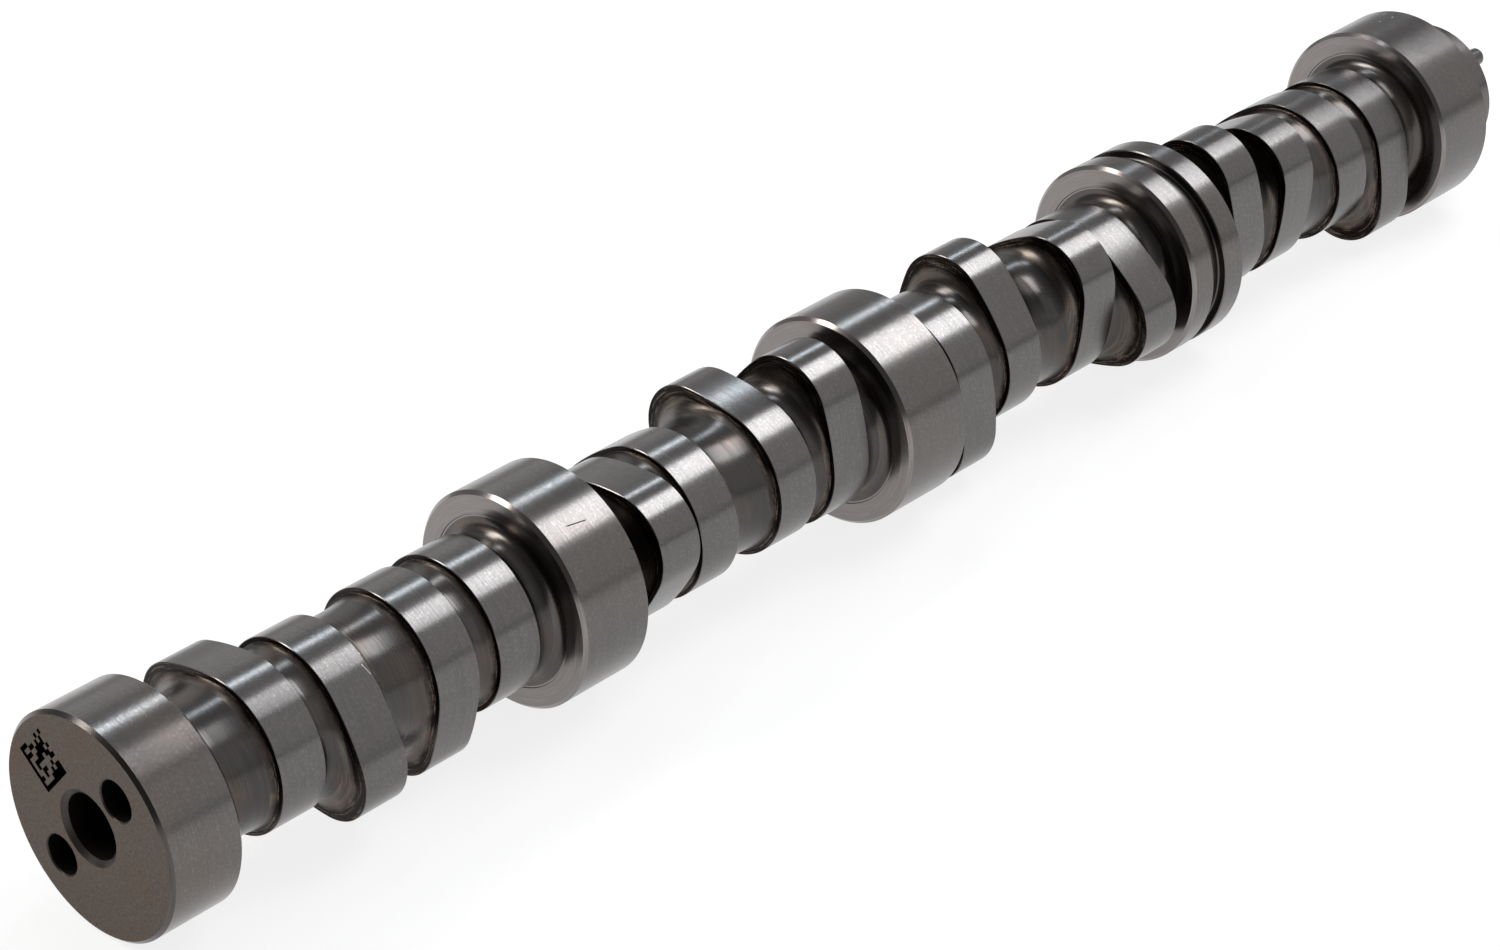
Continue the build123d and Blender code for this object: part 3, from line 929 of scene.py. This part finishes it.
def pin_steel(colours):
    """Hardened dowel pin, centreless ground: a plain grey. Its lines are drawn 0.3 mm apart."""
    material, tree, where, _ = new_finish("pin_steel")
    fine = lines_round(tree, where, 0.3 * MM, 4 * MM, 2.0)
    base = layered(tree, colours.pin, (colours.pin_line, fine, 0.0, 1.0, 1.0))
    steel(tree, base, 0.3, fine, 0.25, 0.0)
    return material


# Studio

# Softboxes, all rectangles: middle, point that it faces, its long side's direction, length, width,
# brightness and colour
SOFTBOXES = (
    ("lamp_broad", (0.35, -0.16, 0.70), (0.35, -0.16, 0.0), (0.92, 0.39, 0.0), 0.61, 0.42, 7.1, "#fbfcff"),
    ("lamp_strip", (0.17, 0.382, 0.70), (0.17, 0.382, 0.0), (0.95, 0.30, 0.0), 1.14, 0.085, 7.6, "#e8f5ff"),
    ("lamp_rear", (-0.80, 0.60, 0.66), (-0.40, 0.10, 0.0), (1.0, 0.1, 0.0), 0.60, 0.24, 12.0, "#fffaf5"),
    ("lamp_back", (0.50, 1.75, 0.95), (0.0, 0.0, 0.0), (-0.96, 0.275, 0.0), 1.4, 1.0, 0.4, "#ffffff"),
    ("lamp_front", (0.95, -1.15, 0.75), (-0.15, 0.0, 0.0), (0.72, 0.69, 0.0), 2.2, 1.3, 0.36, "#fffaf8"),
)
CAMERA_PLACE = (-0.892376, -0.613188, 0.492643)
CAMERA_TURNS = (44.2198, -29.4046, -2.1605)     # degrees: azimuth, pitch and roll
CAMERA_LENS = 99.6312
CAMERA_SENSOR = 36.0
CAMERA_CLIP = (0.05, 20.0)
FLOOR_SIZE = 14.0
FLOOR_POINTS = 5          # along each side
FLOOR_GLOW = 0.82         # share of the floor's white that is plain, where the camera or steel sees it
WORLD_LEVEL = 0.50        # overhead and towards the nose
REAR_WORLD_LEVEL = 0.1    # towards the rear end, where the studio is dark
REAR_FADE = (-0.7, 0.15)  # X of the direction looked in, where that dark ends and the level is full
NOSE_WORLD_SHARE = 0.8    # of the level overhead, beyond the nose
NOSE_FADE = (0.5, 0.78)


def floor_material(colours):
    """Matt white paper. What the camera and the steel see of it is partly a plain white, so it
    stays white and still keeps the object's shadow. Its fibres are drawn 1.1 mm across."""
    material, tree, where, _ = new_finish("white_paper")
    fibre = add(tree, "TexNoise", {"Vector": where, "Scale": 1 / (1.111 * MM), "Detail": 3.0}).outputs[0]
    base = layered(tree, colours.floor, (colours.fibre, fibre, 0.3, 0.7, 0.5))
    paper = add(tree, "BsdfPrincipled", {"Base Color": base, "Roughness": 0.95, "Specular IOR Level": 0.1})
    path = add(tree, "LightPath").outputs
    seen = merged(tree, "MAXIMUM", path["Is Camera Ray"], path["Is Glossy Ray"], path["Is Transmission Ray"])
    share = add(tree, "Math", {0: seen, 1: FLOOR_GLOW}, operation="MULTIPLY").outputs[0]
    glow = add(tree, "Emission", {"Color": (1, 1, 1, 1), "Strength": share})
    mixed = add(tree, "AddShader", {0: paper.outputs[0], 1: glow.outputs[0]})
    add(tree, "OutputMaterial", {"Surface": mixed.outputs[0]})
    return material


def build_floor(colours):
    """A flat square of paper at the shaft's lowest point, as a grid of points."""
    side = np.linspace(-FLOOR_SIZE / 2, FLOOR_SIZE / 2, FLOOR_POINTS)
    x, y = np.meshgrid(side, side)
    points = np.stack([x, y, np.full_like(x, CAD_LOW.z)], 2).reshape(-1, 3)
    step = np.arange(FLOOR_POINTS - 1)
    corner = (step[:, None] * FLOOR_POINTS + step).ravel()
    quads = np.stack([corner, corner + 1, corner + FLOOR_POINTS + 1, corner + FLOOR_POINTS], 1)
    mesh = bpy.data.meshes.new("floor")
    mesh.from_pydata(points.tolist(), [], quads.tolist())
    mesh.materials.append(floor_material(colours))
    floor = bpy.data.objects.new("floor", mesh)
    bpy.context.scene.collection.objects.link(floor)
    floor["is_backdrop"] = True


def build_lamps():
    """Soft rectangles of light. A lamp's power is its brightness times pi times its area."""
    for name, place, aim, along, long_side, short_side, level, code in SOFTBOXES:
        light = bpy.data.lights.new(name, "AREA")
        light.shape = "RECTANGLE"
        light.size, light.size_y = long_side, short_side
        light.energy = level * math.pi * long_side * short_side
        light.color = linear(code)
        lamp = bpy.data.objects.new(name, light)
        bpy.context.scene.collection.objects.link(lamp)
        back = (Vector(place) - Vector(aim)).normalized()
        right = Vector(along).normalized()
        turn = Matrix((right, back.cross(right), back)).transposed().to_4x4()
        lamp.matrix_world = Matrix.Translation(place) @ turn


def build_camera():
    """Camera at the photograph's viewing angle. Unturned, it looks straight down. It is rolled
    about its own axis, raised to level and by its pitch, and turned about Z to its azimuth."""
    azimuth, pitch, roll = CAMERA_TURNS
    data = bpy.data.cameras.new("camera")
    data.sensor_fit, data.sensor_width, data.lens = "HORIZONTAL", CAMERA_SENSOR, CAMERA_LENS
    data.clip_start, data.clip_end = CAMERA_CLIP
    camera = bpy.data.objects.new("camera", data)
    bpy.context.scene.collection.objects.link(camera)
    pose = Matrix.Translation(CAMERA_PLACE)
    for degrees, axis in ((azimuth - 90, "Z"), (pitch + 90, "X"), (roll, "Z")):
        pose = pose @ Matrix.Rotation(math.radians(degrees), 4, axis)
    camera.matrix_world = pose
    bpy.context.scene.camera = camera


def build_world():
    """A grey studio all round, darker towards the rear end and a little beyond the nose. Both
    fade along X of the direction looked in."""
    world = bpy.data.worlds.new("studio")
    world.use_nodes = True
    tree = world.node_tree
    tree.nodes.clear()
    way = add(tree, "SeparateXYZ", {0: add(tree, "TexCoord").outputs["Generated"]}).outputs["X"]
    level = ranged(tree, (way, *REAR_FADE, REAR_WORLD_LEVEL, WORLD_LEVEL),
                   (way, *NOSE_FADE, 1.0, NOSE_WORLD_SHARE), operation="MULTIPLY")
    sky = add(tree, "Background", {"Color": (1, 1, 1, 1), "Strength": level})
    add(tree, "OutputWorld", {"Surface": sky.outputs[0]})
    bpy.context.scene.world = world


# Operators, panel and run

class CAMSHAFT_OT_shaft(bpy.types.Operator):
    """Builds the shaft as one surface and gives it its seven finishes"""
    bl_idname = "camshaft.shaft"
    bl_label = "Build shaft"

    def execute(self, context):
        sizes, colours = context.scene.camshaft_sizes, context.scene.camshaft_colours
        materials = [make(colours) for make in (ground_steel, core_steel_and_shade, root_steel, scaled_steel,
                                                side_steel, rear_steel, bored_steel_and_shade)]
        piece("camshaft_steel", shaft_mesh(sizes), materials, "camshaft")
        return {"FINISHED"}


class CAMSHAFT_OT_pin(bpy.types.Operator):
    """Builds the dowel pin in the nose"""
    bl_idname = "camshaft.pin"
    bl_label = "Build dowel pin"

    def execute(self, context):
        sizes, colours = context.scene.camshaft_sizes, context.scene.camshaft_colours
        piece("dowel_pin_steel", pin_mesh(sizes), [pin_steel(colours)], "dowel_pin")
        return {"FINISHED"}


class CAMSHAFT_OT_stage(bpy.types.Operator):
    """Builds the floor, lamps, camera and world"""
    bl_idname = "camshaft.stage"
    bl_label = "Build stage"

    def execute(self, context):
        build_floor(context.scene.camshaft_colours)
        build_lamps()
        build_camera()
        build_world()
        context.scene.view_settings.view_transform = "Standard"
        return {"FINISHED"}


class CAMSHAFT_PT_panel(bpy.types.Panel):
    """Lists the sizes, colours and pieces of the camshaft"""
    bl_idname = "CAMSHAFT_PT_panel"
    bl_label = "Camshaft"
    bl_space_type = "VIEW_3D"
    bl_region_type = "UI"
    bl_category = "Camshaft"

    def draw(self, context):
        for group in (context.scene.camshaft_sizes, context.scene.camshaft_colours):
            box = self.layout.box()
            for name in group.__annotations__:
                box.prop(group, name)
        for operator in OPERATORS:
            self.layout.operator(operator.bl_idname)


OPERATORS = (CAMSHAFT_OT_shaft, CAMSHAFT_OT_pin, CAMSHAFT_OT_stage)
CLASSES = (CamshaftSizes, CamshaftColours, *OPERATORS, CAMSHAFT_PT_panel)


def register():
    for item in CLASSES:
        bpy.utils.register_class(item)
    bpy.types.Scene.camshaft_sizes = PointerProperty(type=CamshaftSizes)
    bpy.types.Scene.camshaft_colours = PointerProperty(type=CamshaftColours)


def unregister():
    del bpy.types.Scene.camshaft_colours
    del bpy.types.Scene.camshaft_sizes
    for item in reversed(CLASSES):
        bpy.utils.unregister_class(item)


def main():
    """Builds everything in order."""
    register()
    bpy.ops.camshaft.shaft()
    bpy.ops.camshaft.pin()
    bpy.ops.camshaft.stage()


if __name__ == "__main__":
    main()
